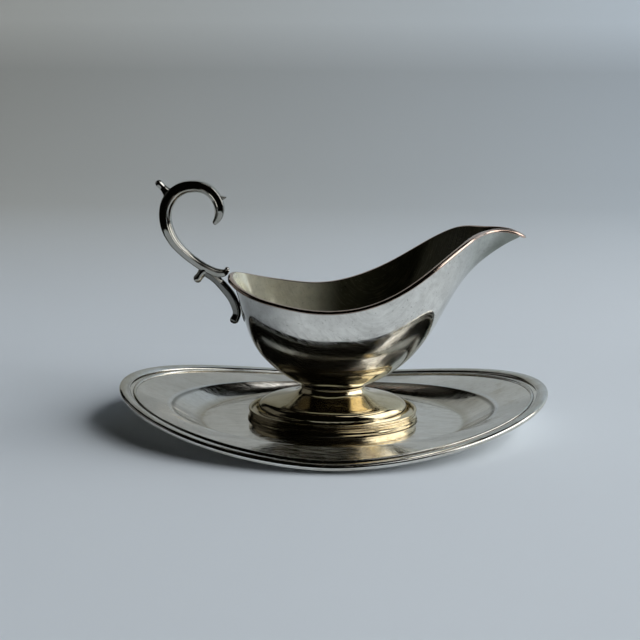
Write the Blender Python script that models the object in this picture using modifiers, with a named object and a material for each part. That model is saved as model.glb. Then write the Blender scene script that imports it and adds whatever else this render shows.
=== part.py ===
"""Silver sauce boat standing loose on its oval underplate.

Metres, +Z up.  The origin is the middle of the underplate's underside, the
spout points along +X and the handle stands at -X.
"""
import math

import bmesh
import bpy
import numpy as np

MM = 0.001
GAP = 0.3 * MM                      # between pieces that touch

# Underplate
PLATE_SHEET = 1.2 * MM
PLATE_HALF_LENGTH = 112.0 * MM      # edge of the sheet, inside the rim wire
PLATE_HALF_WIDTH = 74.5 * MM
WELL_HALF_LENGTH = 71.5 * MM        # flat floor
WELL_HALF_WIDTH = 48.5 * MM
CREASE_HALF_LENGTH = 88.0 * MM      # fold where the curved step round the well ends
CREASE_HALF_WIDTH = 53.5 * MM
STEP_RISE_SIDE = 3.7 * MM           # height of that step at the sides
STEP_RISE_END = 8.5 * MM            # and at the two ends
STEP_CURVE = 1.3                    # how hollow the step is
RIM_RISE_SIDE = 1.9 * MM            # sheet's rise from the well to the rim at the sides
RIM_RISE_END = 18.6 * MM            # and at the two raised ends
RIM_SWEEP = 1.67                    # how late the rim starts to rise
PLATE_WIRE_RADIUS = 1.4 * MM
REED_RADIUS = 0.8 * MM
REED_INSET = 5.1 * MM
PLATE_SEGMENTS = 64

# Foot, outer profile as (half length, height); every ring has the same ratio of width to length
FOOT_RATIO = 0.677
FOOT_SHEET = 1.0 * MM
DOME_PROFILE = [(17.2, 18.9), (18.3, 17.2), (21.0, 15.6), (25.0, 14.4), (31.0, 13.2),
                (36.5, 12.0), (39.3, 10.6), (40.3, 9.0), (40.7, 7.0), (41.9, 6.0), (43.6, 5.8)]
SKIRT_PROFILE = [(44.7, 5.7), (45.5, 5.0), (45.8, 3.2), (46.3, 1.75)]
BEAD_RADIUS = 0.8 * MM
BEAD_HALF_LENGTH = 44.9 * MM
BEAD_HEIGHT = 6.8 * MM
COLLAR_RADIUS = 0.65 * MM
COLLAR_HALF_LENGTH = 16.9 * MM
COLLAR_HEIGHT = 19.85 * MM
FOOT_SEGMENTS = 36

# Bowl: keel line (x, z) and half rim (x, half width, z), both from the spout's tip to the back
BOWL_SHEET = 1.0 * MM
BOWL_FLARE = 0.07
BOWL_RIBS = 34
RIB_STEPS = 8
KEEL = [(97.6, 102.2), (91.0, 98.9), (82.0, 92.9), (72.6, 84.7), (64.2, 73.9), (57.0, 61.2),
        (51.0, 49.8), (43.8, 40.0), (36.0, 32.2), (26.0, 25.3), (15.0, 20.6), (0.0, 19.0),
        (-15.0, 20.4), (-25.0, 25.1), (-34.0, 32.3), (-41.0, 40.6), (-45.0, 49.4), (-47.3, 57.5),
        (-48.7, 65.0), (-50.0, 71.0), (-51.8, 76.0), (-54.0, 79.8)]
RIM = [(97.6, 0.0, 102.2), (95.8, 1.9, 103.5), (92.0, 2.6, 105.0), (87.0, 3.2, 105.8),
       (82.0, 4.6, 105.8), (77.5, 8.2, 105.4), (73.0, 13.8, 104.9), (67.0, 22.5, 103.0),
       (57.0, 32.2, 97.0), (46.7, 38.4, 89.7), (37.0, 41.8, 83.0), (27.0, 43.0, 77.3),
       (15.0, 41.8, 72.4), (2.0, 38.2, 69.4), (-12.0, 34.3, 68.8), (-26.0, 30.9, 70.6),
       (-37.0, 27.1, 72.9), (-46.5, 20.2, 76.0), (-52.0, 12.0, 78.6), (-54.0, 0.0, 79.8)]
TIP_CROWDING = 1.3                  # ribs and wire points stand closer at the spout's tip
RIM_WIRE_RADIUS = 1.0 * MM
RIM_WIRE_POINTS = 64

# Handle: centre line (x, z) and depth, from the free end of the scroll round to the bowl
SCROLL = [(-62.3, 107.6, 2.6), (-60.2, 111.2, 4.5), (-60.1, 116.0, 5.2), (-62.6, 121.4, 5.2),
          (-67.6, 125.2, 5.6), (-74.3, 126.0, 6.2), (-80.2, 124.5, 6.6), (-85.4, 119.9, 7.0),
          (-88.1, 112.8, 6.0), (-87.5, 105.4, 6.0), (-84.3, 98.0, 5.4), (-78.6, 91.4, 4.7),
          (-71.8, 86.0, 4.5), (-65.0, 82.3, 4.2), (-60.6, 81.3, 3.8), (-58.2, 81.8, 3.4)]
THUMB_SPUR = [(-83.6, 119.2, 7.4), (-86.6, 122.6, 5.8), (-89.3, 125.6, 3.7), (-91.2, 127.7, 3.5)]
HEEL_SPUR = [(-67.6, 83.0, 4.6), (-69.4, 80.6, 4.6), (-71.2, 78.6, 4.4), (-72.2, 77.4, 4.3)]
BARB = [(-61.4, 119.8, 3.2), (-59.2, 120.2, 2.6), (-57.0, 120.6, 1.3), (-56.2, 120.8, 0.8)]
BRACKET = [(-66.4, 78.7, 2.0), (-64.2, 78.1, 3.2), (-61.2, 76.3, 4.6), (-57.2, 72.5, 4.9),
           (-53.9, 67.6, 4.5), (-52.1, 62.6, 4.3), (-51.4, 58.6, 4.3), (-52.8, 55.2, 4.6)]
# Half section of the scroll: (towards the inside of the curve, sideways), per half depth
SECTION = [(1.0, 0.0), (0.93, 0.75), (0.72, 1.08), (-0.2, 1.16), (-0.34, 1.02), (-0.86, 0.58),
           (-1.0, 0.0)]
BRACKET_LEAN = 0.92
SEAT_THICKNESS = 0.8 * MM
SEAT_HALF_WIDTH = 3.4 * MM
SEAT_CENTRE_HEIGHT = 62.5 * MM
SEAT_HALF_HEIGHT = 7.6 * MM

WORK = bpy.data.collections.new("silver_sauce_boat")


def clear_scene():
    """Remove whatever the new file holds."""
    for old in list(bpy.data.objects):
        bpy.data.objects.remove(old, do_unlink=True)
    bpy.context.scene.collection.children.link(WORK)


def metal(name, colour, roughness, metallic=1.0):
    """A bare metal with one colour and one polish."""
    material = bpy.data.materials.new(name)
    material.use_nodes = True
    shader = material.node_tree.nodes["Principled BSDF"]
    shader.inputs["Base Color"].default_value = (*colour, 1.0)
    shader.inputs["Roughness"].default_value = roughness
    shader.inputs["Metallic"].default_value = metallic
    return material


def add_object(name, data, material):
    """Put a mesh or curve into the boat's collection under its piece's name."""
    piece = bpy.data.objects.new(name, data)
    WORK.objects.link(piece)
    piece.data.materials.clear()
    piece.data.materials.append(material)
    return piece


def smooth_edges(piece, degrees=35):
    """Round shading that keeps the sharp edges."""
    for polygon in piece.data.polygons:
        polygon.use_smooth = True
    piece.data.set_sharp_from_angle(angle=math.radians(degrees))


def solidify(piece, thickness, offset):
    """Turn an open surface into sheet metal."""
    sheet = piece.modifiers.new("sheet", "SOLIDIFY")
    sheet.thickness = thickness
    sheet.offset = offset
    sheet.use_even_offset = True
    return sheet


def apply_modifiers(piece):
    """Bake the modifiers into the mesh."""
    graph = bpy.context.evaluated_depsgraph_get()
    baked = bpy.data.meshes.new_from_object(piece.evaluated_get(graph))
    piece.modifiers.clear()
    piece.data = baked


def natural_spline(knots, count):
    """Evenly spaced points along a natural cubic spline through the knots."""
    knots = np.array(knots, dtype=float)
    steps = np.linalg.norm(np.diff(knots, axis=0), axis=1)
    at = np.concatenate([[0.0], np.cumsum(steps)])
    size = len(at)
    left = np.eye(size)
    right = np.zeros(knots.shape)
    for i in range(1, size - 1):
        left[i, i - 1] = steps[i - 1]
        left[i, i] = 2.0 * (steps[i - 1] + steps[i])
        left[i, i + 1] = steps[i]
        slope_after = (knots[i + 1] - knots[i]) / steps[i]
        slope_before = (knots[i] - knots[i - 1]) / steps[i - 1]
        right[i] = 6.0 * (slope_after - slope_before)
    bend = np.linalg.solve(left, right)
    fine = []
    for i in range(size - 1):
        for fraction in np.linspace(0.0, 1.0, 24, endpoint=False):
            a = 1.0 - fraction
            cubic_a = (a ** 3 - a) * steps[i] ** 2 / 6.0
            cubic_b = (fraction ** 3 - fraction) * steps[i] ** 2 / 6.0
            straight = a * knots[i] + fraction * knots[i + 1]
            fine.append(straight + cubic_a * bend[i] + cubic_b * bend[i + 1])
    fine.append(knots[-1])
    return respace(np.array(fine), count)


def respace(points, count):
    """The same line with its points evenly spaced."""
    steps = np.linalg.norm(np.diff(points, axis=0), axis=1)
    run = np.concatenate([[0.0], np.cumsum(steps)])
    wanted = np.linspace(0.0, run[-1], count)
    return np.stack([np.interp(wanted, run, column) for column in points.T], axis=1)


def mirrored_spline(knots, count):
    """A spline through half a loop that leaves its two ends square to the middle plane."""
    flip = np.array([1.0, -1.0, 1.0])
    knots = np.array(knots)
    before = (knots[1:3] * flip)[::-1]
    after = (knots[-3:-1] * flip)[::-1]
    loop = natural_spline(np.concatenate([before, knots, after]), 3000)
    first = int(np.argmin(np.linalg.norm(loop - knots[0], axis=1)))
    last = int(np.argmin(np.linalg.norm(loop - knots[-1], axis=1)))
    return respace(np.concatenate([knots[:1], loop[first + 1:last], knots[-1:]]), count)


def bowl_curves():
    """Keel and half rim of the bowl as evenly spaced points in metres."""
    keel = natural_spline([(x, 0.0, z) for x, z in KEEL], 400) * MM
    rim = mirrored_spline(RIM, 400) * MM
    return keel, rim


def bowl_point(keel, rim, along, turn):
    """A point of the bowl's outer face.

    along runs 0 to 1 from the spout's tip to the back, turn runs -1 to 1 from
    one rim over the keel to the other.
    """
    place = along * (len(keel) - 1)
    low = min(int(place), len(keel) - 2)
    part = place - low
    bottom = keel[low] * (1.0 - part) + keel[low + 1] * part
    edge = rim[low] * (1.0 - part) + rim[low + 1] * part
    angle = abs(turn) * math.pi / 2.0
    up = 1.0 - math.cos(angle)
    out = (1.0 - BOWL_FLARE) * math.sin(angle) + BOWL_FLARE * up ** 3
    side = math.copysign(edge[1] * out, turn)
    x = bottom[0] + (edge[0] - bottom[0]) * up
    z = bottom[2] + (edge[2] - bottom[2]) * up
    return np.array([x, side, z])


def loft(name, rings, material, closed_rings, capped):
    """Skin a row of rings; a ring of one point closes that end."""
    mesh = bmesh.new()
    rows = [[mesh.verts.new(tuple(point)) for point in ring] for ring in rings]
    for first, second in zip(rows[:-1], rows[1:]):
        count = max(len(first), len(second))
        spans = count if closed_rings else count - 1
        for j in range(spans):
            k = (j + 1) % count
            a = [first[j], first[k]] if len(first) > 1 else [first[0]]
            b = [second[k], second[j]] if len(second) > 1 else [second[0]]
            mesh.faces.new(a + b)
    if capped:
        for row in (rows[0], rows[-1]):
            if len(row) > 1:
                mesh.faces.new(row)
    bmesh.ops.recalc_face_normals(mesh, faces=mesh.faces)
    data = bpy.data.meshes.new(name)
    mesh.to_mesh(data)
    mesh.free()
    return add_object(name, data, material)


def wire(name, points, radius, material):
    """A closed loop of round wire."""
    curve = bpy.data.curves.new(name, "CURVE")
    curve.dimensions = "3D"
    curve.bevel_depth = radius
    curve.bevel_resolution = 1
    spline = curve.splines.new("POLY")
    spline.points.add(len(points) - 1)
    for knot, point in zip(spline.points, points):
        knot.co = (*point, 1.0)
    spline.use_cyclic_u = True
    return add_object(name, curve, material)


def turned_oval(name, profile, segments, material):
    """A profile turned about the Z axis and narrowed to the foot's oval."""
    mesh = bmesh.new()
    knots = [mesh.verts.new((half * MM, 0.0, height * MM)) for half, height in profile]
    for a, b in zip(knots[:-1], knots[1:]):
        mesh.edges.new((a, b))
    data = bpy.data.meshes.new(name)
    mesh.to_mesh(data)
    mesh.free()
    piece = add_object(name, data, material)
    screw = piece.modifiers.new("turn", "SCREW")
    screw.steps = segments
    screw.render_steps = segments
    screw.use_merge_vertices = True
    screw.merge_threshold = 0.00001
    apply_modifiers(piece)
    return piece


def plate_surface(part, angle):
    """Top of the underplate: part runs 0 to 1 up the step and 1 to 2 over the flange."""
    swing = abs(math.cos(angle))
    step = STEP_RISE_SIDE + (STEP_RISE_END - STEP_RISE_SIDE) * swing ** 1.5
    rim = RIM_RISE_SIDE + (RIM_RISE_END - RIM_RISE_SIDE) * swing ** RIM_SWEEP
    if part <= 1.0:
        half_length = WELL_HALF_LENGTH + (CREASE_HALF_LENGTH - WELL_HALF_LENGTH) * part
        half_width = WELL_HALF_WIDTH + (CREASE_HALF_WIDTH - WELL_HALF_WIDTH) * part
        height = step * part ** STEP_CURVE
    else:
        out = part - 1.0
        half_length = CREASE_HALF_LENGTH + (PLATE_HALF_LENGTH - CREASE_HALF_LENGTH) * out
        half_width = CREASE_HALF_WIDTH + (PLATE_HALF_WIDTH - CREASE_HALF_WIDTH) * out
        rounded = 1.0 - (1.0 - out) ** 2.2
        height = step + (rim - step) * (rounded * (1.0 - swing) + out ** 1.1 * swing)
    return np.array([half_length * math.cos(angle), half_width * math.sin(angle),
                     PLATE_SHEET + height])


def inside_rim(inset, angle):
    """The point of the flange that lies a given distance inside its rim."""
    width = math.hypot((PLATE_HALF_LENGTH - CREASE_HALF_LENGTH) * math.cos(angle),
                       (PLATE_HALF_WIDTH - CREASE_HALF_WIDTH) * math.sin(angle))
    return plate_surface(2.0 - inset / width, angle)


def angles(count):
    """Evenly spaced angles round a turn."""
    return [2.0 * math.pi * i / count for i in range(count)]


def plate_dish():
    """Pressed sheet: flat oval well, flange, two raised ends."""
    turn = angles(PLATE_SEGMENTS)
    rings = [[(0.0, 0.0, PLATE_SHEET)]]
    for part in (0.5, 0.9):
        rings.append([(WELL_HALF_LENGTH * part * math.cos(a), WELL_HALF_WIDTH * part * math.sin(a),
                       PLATE_SHEET) for a in turn])
    for part in (0.0, 0.25, 0.5, 0.75, 1.0, 1.33, 1.66, 2.0):
        rings.append([plate_surface(part, a) for a in turn])
    silver = metal("plate_silver", (0.62, 0.61, 0.58), 0.32)
    dish = loft("plate_dish", rings, silver, closed_rings=True, capped=False)
    if dish.data.polygons[0].normal.z < 0:
        dish.data.flip_normals()
    solidify(dish, PLATE_SHEET, -1.0)
    smooth_edges(dish)
    return dish


def plate_wires():
    """Round wire on the plate's edge and a finer reed inside it."""
    silver = metal("plate_wire_silver", (0.70, 0.69, 0.66), 0.25)
    turn = angles(PLATE_SEGMENTS)
    reach = PLATE_WIRE_RADIUS + GAP
    rim = []
    for a in turn:
        edge = plate_surface(2.0, a)
        out = np.array([math.cos(a) / PLATE_HALF_LENGTH, math.sin(a) / PLATE_HALF_WIDTH, 0.0])
        out /= np.linalg.norm(out)
        rim.append(edge + out * reach + np.array([0.0, 0.0, 0.2 * MM]))
    wire("plate_rim_wire", rim, PLATE_WIRE_RADIUS, silver)
    reed_silver = metal("plate_reed_silver", (0.68, 0.67, 0.64), 0.28)
    reed = []
    for a in turn:
        lift = (REED_RADIUS + GAP) * 1.12
        reed.append(inside_rim(REED_INSET, a) + np.array([0.0, 0.0, lift]))
    wire("plate_reed_wire", reed, REED_RADIUS, reed_silver)


def oval(half_length, height, count):
    """Points of one of the foot's oval rings."""
    half_width = half_length * FOOT_RATIO
    return [np.array([half_length * math.cos(a), half_width * math.sin(a), height])
            for a in angles(count)]


def foot():
    """Spreading foot: domed sheet, bead wire and upright skirt."""
    silver = metal("foot_silver", (0.66, 0.62, 0.54), 0.16)
    dome = turned_oval("foot_dome", DOME_PROFILE, FOOT_SEGMENTS, silver)
    bead_silver = metal("foot_bead_silver", (0.72, 0.69, 0.62), 0.14)
    wire("foot_bead_wire", oval(BEAD_HALF_LENGTH, BEAD_HEIGHT, FOOT_SEGMENTS), BEAD_RADIUS,
         bead_silver)
    skirt_silver = metal("foot_skirt_silver", (0.64, 0.60, 0.52), 0.18)
    skirt = turned_oval("foot_skirt", SKIRT_PROFILE, FOOT_SEGMENTS, skirt_silver)
    for piece in (dome, skirt):
        for vertex in piece.data.vertices:
            vertex.co.y *= FOOT_RATIO
        solidify(piece, FOOT_SHEET, -1.0)
        smooth_edges(piece)


def bowl():
    """Boat-shaped bowl lofted from ribs between the keel and the rim."""
    keel, rim = bowl_curves()
    silver = metal("bowl_silver", (0.74, 0.73, 0.69), 0.20)
    rings = []
    for i in range(BOWL_RIBS + 1):
        along = (i / BOWL_RIBS) ** TIP_CROWDING
        if i in (0, BOWL_RIBS):
            rings.append([bowl_point(keel, rim, along, 0.0)])
            continue
        rings.append([bowl_point(keel, rim, along, j / RIB_STEPS)
                      for j in range(-RIB_STEPS, RIB_STEPS + 1)])
    piece = loft("bowl", rings, silver, closed_rings=False, capped=False)
    lowest = min(piece.data.polygons, key=lambda face: face.center.z)
    if lowest.normal.z > 0:
        piece.data.flip_normals()
    solidify(piece, BOWL_SHEET, -1.0)
    smooth_edges(piece)
    return piece


def rim_wire():
    """Round wire soldered outside the bowl's edge."""
    rim = bowl_curves()[1]
    place = np.linspace(0.0, 1.0, RIM_WIRE_POINTS // 2 + 1) ** TIP_CROWDING * (len(rim) - 1)
    half = np.stack([np.interp(place, np.arange(len(rim)), column) for column in rim.T], axis=1)
    other = (half[1:-1] * np.array([1.0, -1.0, 1.0]))[::-1]
    loop = np.concatenate([half, other])
    ahead = np.roll(loop, -1, axis=0) - np.roll(loop, 1, axis=0)
    out = np.stack([ahead[:, 1], -ahead[:, 0], np.zeros(len(loop))], axis=1)
    out /= np.linalg.norm(out, axis=1)[:, None]
    if out[0, 0] < 0:
        out = -out
    centre = loop + out * (RIM_WIRE_RADIUS + GAP)
    centre[:, 2] -= 0.35 * RIM_WIRE_RADIUS
    silver = metal("rim_wire_silver", (0.78, 0.70, 0.60), 0.18)
    return wire("bowl_rim_wire", centre, RIM_WIRE_RADIUS, silver)


def neck_collar():
    """Thin ring that hides the joint of bowl and foot."""
    ring = oval(COLLAR_HALF_LENGTH, COLLAR_HEIGHT, FOOT_SEGMENTS)
    silver = metal("collar_silver", (0.80, 0.76, 0.68), 0.12)
    return wire("neck_collar", ring, COLLAR_RADIUS, silver)


def scroll_rings(knots, count, lean, round_start, round_end):
    """Sections of a cast scroll set square to its centre line."""
    line = natural_spline(knots, count) * MM
    ahead = np.gradient(line[:, :2], axis=0)
    ahead /= np.linalg.norm(ahead, axis=1)[:, None]
    across = np.stack([-ahead[:, 1], ahead[:, 0]], axis=1) * lean[1]
    outline = SECTION + [(r, -t) for r, t in SECTION[-2:0:-1]]
    rings = []
    ends = []
    if round_start:
        ends.append((0, -1.0))
    if round_end:
        ends.append((count - 1, 1.0))
    for i in range(count):
        half = line[i, 2] / 2.0
        rings.append(section_ring(line[i, :2], across[i], half, outline, lean[0]))
    for index, way in ends:
        half = line[index, 2] / 2.0
        extra = []
        for angle in (35.0, 65.0):
            shift = ahead[index] * way * half * math.sin(math.radians(angle))
            shrink = half * math.cos(math.radians(angle))
            extra.append(section_ring(line[index, :2] + shift, across[index], shrink, outline,
                                      lean[0]))
        rings = rings + extra if index else extra[::-1] + rings
    return rings


def section_ring(centre, across, half, outline, width):
    """One section as points in space."""
    points = []
    for out, side in outline:
        flat = centre + across * out * half
        points.append((flat[0], side * half * width, flat[1]))
    return points


def join_pieces(base, others):
    """Cast the added lumps into the base piece."""
    for other in others:
        union = base.modifiers.new("union", "BOOLEAN")
        union.operation = "UNION"
        union.solver = "EXACT"
        union.object = other
        apply_modifiers(base)
        bpy.data.objects.remove(other, do_unlink=True)


def handle_scroll():
    """C-scroll with its thumb spur, heel spur and barb, cast in one."""
    silver = metal("handle_silver", (0.55, 0.54, 0.50), 0.15)
    scroll = loft("handle_scroll", scroll_rings(SCROLL, 46, (1.0, 1.0), True, True), silver,
                  closed_rings=True, capped=True)
    spurs = [loft("spur_%d" % i, scroll_rings(knots, 6, (0.9, 1.0), False, True), silver,
                  closed_rings=True, capped=True)
             for i, knots in enumerate((THUMB_SPUR, HEEL_SPUR, BARB))]
    join_pieces(scroll, spurs)
    smooth_edges(scroll, 40)
    return scroll


def handle_bracket():
    """Curved strut from the scroll's heel down the bowl's back, ending in a curl."""
    silver = metal("bracket_silver", (0.55, 0.54, 0.50), 0.15)
    bracket = loft("handle_bracket", scroll_rings(BRACKET, 16, (BRACKET_LEAN, -1.0), True, True),
                   silver, closed_rings=True, capped=True)
    smooth_edges(bracket, 40)
    return bracket


def handle_seat():
    """Thin solder seat between the bracket and the bowl's back."""
    keel, rim = bowl_curves()
    back = keel[len(keel) // 2:]
    first = 0.5

    def surface(height, side):
        place = np.interp(height, back[:, 2][back[:, 0] < 0], np.nonzero(back[:, 0] < 0)[0])
        along = first + place / (len(keel) - 1)
        reach = np.interp(along * (len(rim) - 1), np.arange(len(rim)), rim[:, 1])
        turn = math.asin(min(0.95, abs(side) / reach)) / (math.pi / 2.0)
        point = bowl_point(keel, rim, along, math.copysign(turn, side))
        return point - np.array([GAP * 1.3, 0.0, 0.0])

    rings = [[surface(SEAT_CENTRE_HEIGHT, 0.0)]]
    for size in (0.5, 1.0):
        rings.append([surface(SEAT_CENTRE_HEIGHT + SEAT_HALF_HEIGHT * size * math.sin(a),
                              SEAT_HALF_WIDTH * size * math.cos(a)) for a in angles(14)])
    silver = metal("seat_silver", (0.50, 0.48, 0.44), 0.25)
    seat = loft("handle_seat", rings, silver, closed_rings=True, capped=False)
    if seat.data.polygons[0].normal.x > 0:
        seat.data.flip_normals()
    solidify(seat, SEAT_THICKNESS, 1.0)
    smooth_edges(seat)
    return seat


def build():
    """Make every piece where it stands."""
    clear_scene()
    plate_dish()
    plate_wires()
    foot()
    bowl()
    rim_wire()
    neck_collar()
    handle_scroll()
    handle_bracket()
    handle_seat()


build()
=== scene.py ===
import math

import bmesh
import bpy
import numpy as np
from mathutils import Matrix, Vector


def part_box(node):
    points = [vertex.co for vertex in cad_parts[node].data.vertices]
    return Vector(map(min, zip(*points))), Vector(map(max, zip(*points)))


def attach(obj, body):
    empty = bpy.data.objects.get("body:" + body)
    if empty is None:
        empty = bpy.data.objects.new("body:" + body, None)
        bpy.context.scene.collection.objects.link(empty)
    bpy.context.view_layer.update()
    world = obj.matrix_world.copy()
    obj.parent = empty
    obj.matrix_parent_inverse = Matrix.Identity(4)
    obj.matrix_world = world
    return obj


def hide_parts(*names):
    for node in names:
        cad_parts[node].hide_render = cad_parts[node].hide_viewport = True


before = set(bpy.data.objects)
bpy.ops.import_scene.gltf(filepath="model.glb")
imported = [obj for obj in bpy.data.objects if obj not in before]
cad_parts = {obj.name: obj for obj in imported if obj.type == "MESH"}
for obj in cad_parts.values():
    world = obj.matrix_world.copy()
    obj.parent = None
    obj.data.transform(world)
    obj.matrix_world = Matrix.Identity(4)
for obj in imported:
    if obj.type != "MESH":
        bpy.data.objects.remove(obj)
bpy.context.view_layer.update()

MM = 0.001

# ---------------------------------------------------------------- shape of the bowl
KEEL = [(97.6, 102.2), (91.0, 98.9), (82.0, 92.9), (72.6, 84.7), (64.2, 73.9), (57.0, 61.2),
        (51.0, 49.8), (43.8, 40.0), (36.0, 32.2), (26.0, 25.3), (15.0, 20.6), (0.0, 19.0),
        (-15.0, 20.4), (-25.0, 25.1), (-34.0, 32.3), (-41.0, 40.6), (-45.0, 49.4), (-47.3, 57.5),
        (-48.7, 65.0), (-50.0, 71.0), (-51.8, 76.0), (-54.0, 79.8)]
RIM = [(97.6, 0.0, 102.2), (95.8, 1.9, 103.5), (92.0, 2.6, 105.0), (87.0, 3.2, 105.8),
       (82.0, 4.6, 105.8), (77.5, 8.2, 105.4), (73.0, 13.8, 104.9), (67.0, 22.5, 103.0),
       (57.0, 32.2, 97.0), (46.7, 38.4, 89.7), (37.0, 41.8, 83.0), (27.0, 43.0, 77.3),
       (15.0, 41.8, 72.4), (2.0, 38.2, 69.4), (-12.0, 34.3, 68.8), (-26.0, 30.9, 70.6),
       (-37.0, 27.1, 72.9), (-46.5, 20.2, 76.0), (-52.0, 12.0, 78.6), (-54.0, 0.0, 79.8)]
TIP_CROWDING = 1.3          # ribs and rim points stand closer at the spout's tip
BOWL_SHEET = 1.0 * MM
BOWL_FLARE = 0.07           # how far the wall leans out just below the rim
BOWL_RIBS = 150
RIB_STEPS = 44
RIB_CROWDING = 0.94
LINE_POINTS = 1200
KEEL_SOFTENING = 300
RIM_SOFTENING = 200
SPLINE_STEPS = 40

# ---------------------------------------------------------------- shape of the handle
SCROLL = [(-62.3, 107.6, 2.6), (-60.2, 111.2, 4.5), (-60.1, 116.0, 5.4), (-62.6, 121.4, 5.6),
          (-67.6, 125.2, 5.9), (-74.3, 126.0, 6.3), (-80.2, 124.4, 6.6), (-85.3, 119.7, 6.8),
          (-87.9, 112.8, 6.2), (-87.4, 105.4, 6.0), (-84.3, 98.0, 5.4), (-78.6, 91.4, 4.7),
          (-71.8, 86.0, 4.5), (-65.4, 82.3, 4.4), (-61.2, 80.9, 4.3), (-58.2, 80.9, 3.8),
          (-56.4, 82.2, 2.6)]
# Spurs: x, z, width in the plane of the scroll, width across it.
THUMB_SPUR = [(-84.4, 120.2, 6.0, 5.0), (-85.3, 121.2, 8.6, 5.8), (-86.4, 122.5, 6.6, 5.4),
              (-87.8, 124.1, 4.5, 4.4), (-89.2, 125.7, 3.7, 3.7), (-90.3, 126.8, 3.9, 3.9),
              (-90.9, 127.4, 4.0, 4.0)]
HEEL_SPUR = [(-67.0, 83.7, 5.0, 3.8), (-67.9, 82.6, 8.4, 4.6), (-68.9, 81.5, 6.6, 4.7),
             (-70.0, 80.2, 4.7, 4.6), (-71.1, 78.8, 4.4, 4.5), (-72.0, 77.7, 4.7, 4.7)]
BARB = [(-62.3, 119.5, 3.4, 3.2), (-61.0, 119.7, 5.0, 3.4), (-59.6, 120.0, 3.7, 2.9),
        (-58.3, 120.3, 2.3, 2.2), (-57.1, 120.5, 1.3, 1.3), (-56.4, 120.7, 0.7, 0.8)]
BRACKET = [(-69.2, 82.0, 3.6), (-66.6, 80.6, 4.2), (-63.8, 78.8, 4.3), (-60.6, 76.0, 4.5),
           (-57.0, 72.0, 4.8), (-53.9, 67.6, 4.7), (-52.0, 62.8, 4.4), (-51.5, 59.0, 4.2),
           (-52.8, 55.6, 4.7)]
# Half sections: (across the curve, sideways), as shares of the half thickness and half width.
SCROLL_SECTION = [(0.97, 0.0), (0.975, 0.25), (0.99, 0.5), (1.0, 0.66), (1.0, 0.78), (0.98, 0.86),
                  (0.95, 0.90), (0.92, 0.90), (0.90, 0.91), (0.88, 0.945), (0.85, 0.965),
                  (0.81, 0.97), (0.79, 0.965), (0.6, 1.0), (0.3, 1.04), (0.0, 1.08),
                  (-0.14, 1.09), (-0.17, 1.14), (-0.21, 1.18), (-0.26, 1.18), (-0.30, 1.14),
                  (-0.33, 1.05), (-0.38, 1.0), (-0.44, 0.99), (-0.50, 0.98), (-0.66, 0.80),
                  (-0.82, 0.58), (-0.94, 0.36), (-1.0, 0.16), (-1.01, 0.0)]
SPUR_SECTION = [(math.cos(math.radians(a)), math.sin(math.radians(a))) for a in range(0, 181, 12)]

KNOB_CENTRE = (-56.4, 82.9)
KNOB_RADIUS = 1.2
KNOB_WIDENING = 1.3
SCROLL_FACING = -1.0        # turns the section's broad face to the outside of the curve
BRACKET_FACING = -1.0       # and on the bracket to the inside of its curve
SPUR_FACING = 1.0           # a spur's section is round, so this leaves its shape alone
END_ANGLES = (10.0, 20.0, 30.0, 40.0, 50.0, 60.0, 70.0, 79.0, 86.0)

# ---------------------------------------------------------------- curves

def natural_spline(knots, count):
    """Evenly spaced points along a natural cubic spline through the knots."""
    knots = np.array(knots, dtype=float)
    steps = np.linalg.norm(np.diff(knots, axis=0), axis=1)
    size = len(knots)
    left = np.eye(size)
    right = np.zeros(knots.shape)
    for i in range(1, size - 1):
        left[i, i - 1] = steps[i - 1]
        left[i, i] = 2.0 * (steps[i - 1] + steps[i])
        left[i, i + 1] = steps[i]
        slope_after = (knots[i + 1] - knots[i]) / steps[i]
        slope_before = (knots[i] - knots[i - 1]) / steps[i - 1]
        right[i] = 6.0 * (slope_after - slope_before)
    bend = np.linalg.solve(left, right)
    fine = []
    for i in range(size - 1):
        for fraction in np.linspace(0.0, 1.0, SPLINE_STEPS, endpoint=False):
            a = 1.0 - fraction
            cubic_a = (a ** 3 - a) * steps[i] ** 2 / 6.0
            cubic_b = (fraction ** 3 - fraction) * steps[i] ** 2 / 6.0
            straight = a * knots[i] + fraction * knots[i + 1]
            fine.append(straight + cubic_a * bend[i] + cubic_b * bend[i + 1])
    fine.append(knots[-1])
    return respace(np.array(fine), count)


def respace(points, count):
    """The same line with its points evenly spaced."""
    steps = np.linalg.norm(np.diff(points, axis=0), axis=1)
    run = np.concatenate([[0.0], np.cumsum(steps)])
    wanted = np.linspace(0.0, run[-1], count)
    return np.stack([np.interp(wanted, run, column) for column in points.T], axis=1)


def mirrored_spline(knots, count):
    """A spline through half a loop that leaves its two ends square to the middle plane."""
    flip = np.array([1.0, -1.0, 1.0])
    knots = np.array(knots)
    before = (knots[1:3] * flip)[::-1]
    after = (knots[-3:-1] * flip)[::-1]
    loop = natural_spline(np.concatenate([before, knots, after]), 6000)
    first = int(np.argmin(np.linalg.norm(loop - knots[0], axis=1)))
    last = int(np.argmin(np.linalg.norm(loop - knots[-1], axis=1)))
    return respace(np.concatenate([knots[:1], loop[first + 1:last], knots[-1:]]), count)


def smooth_columns(line, times):
    """Soften the joins between knots without moving the ends."""
    line = line.copy()
    for _ in range(times):
        line[1:-1] = 0.25 * line[:-2] + 0.5 * line[1:-1] + 0.25 * line[2:]
    return line


KEEL_LINE = smooth_columns(natural_spline([(x, 0.0, z) for x, z in KEEL], LINE_POINTS) * MM,
                           KEEL_SOFTENING)
RIM_LINE = smooth_columns(mirrored_spline(RIM, LINE_POINTS) * MM, RIM_SOFTENING)


def line_at(line, along):
    """A point of a line, along running 0 to 1."""
    place = along * (len(line) - 1)
    low = min(int(place), len(line) - 2)
    part = place - low
    return line[low] * (1.0 - part) + line[low + 1] * part


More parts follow.
